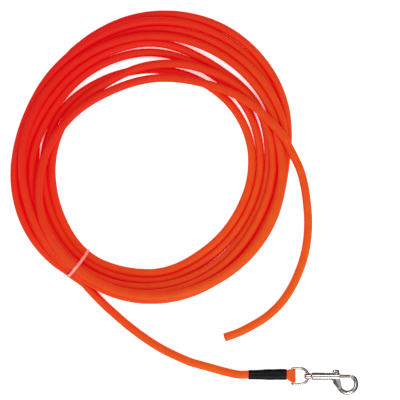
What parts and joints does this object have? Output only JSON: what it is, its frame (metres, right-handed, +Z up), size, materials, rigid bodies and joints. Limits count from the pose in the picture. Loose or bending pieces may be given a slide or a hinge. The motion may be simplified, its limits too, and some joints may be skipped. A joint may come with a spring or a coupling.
{
  "type": "training leash",
  "caption": "Long coated training line, coiled and tied, with a sleeved end that holds a swivelling bolt snap and a plain cut free end.",
  "frame": {"origin": "under the middle of the bolt snap and its swivel eye, on the surface that the leash lies on", "axes": "+X from the line towards the tip of the hook, +Y away from the hook's opening side towards the thumb knob, +Z up"},
  "size_m": [0.2583, 0.2867, 0.02],
  "materials": {
    "line_coating": "satin bright orange coating",
    "line_core": "off-white twisted cord",
    "whipping": "waxed dark thread",
    "sleeve": "satin black heat-shrink",
    "tie": "translucent pale band",
    "nickel_plate": "bright nickel plate",
    "spring_steel": "drawn wire"
  },
  "bodies": {
    "line": {"line_coil": "line_coating", "free_tail": "line_coating", "line_core": "line_core", "snap_tail": "line_coating", "folded_end": "line_coating", "whipping": "whipping", "shrink_sleeve": "sleeve", "coil_tie": "tie"},
    "eye": {"swivel_eye": "nickel_plate"},
    "snap": {"snap_body": "nickel_plate", "swivel_stud": "nickel_plate", "bolt_spring": "spring_steel"},
    "bolt": {"bolt": "nickel_plate", "thumb_knob": "nickel_plate"}
  },
  "joints": [
    {"name": "eye_pivot", "type": "hinge", "parent": "line", "child": "eye", "pos_m": [-0.0243, 0.0035, 0.00265], "axis": [0, -1, 0], "range_deg": [-120, 120]},
    {"name": "swivel", "type": "hinge", "parent": "eye", "child": "snap", "pos_m": [-0.0121, 0.0035, 0.00265], "axis": [1, 0, 0], "continuous": true},
    {"name": "bolt_slide", "type": "slide", "parent": "snap", "child": "bolt", "axis": [-1, 0, 0], "range_m": [0, 0.008], "stiffness_N_per_m": 400, "springref_m": -0.005, "deforming": ["bolt_spring"]}
  ]
}
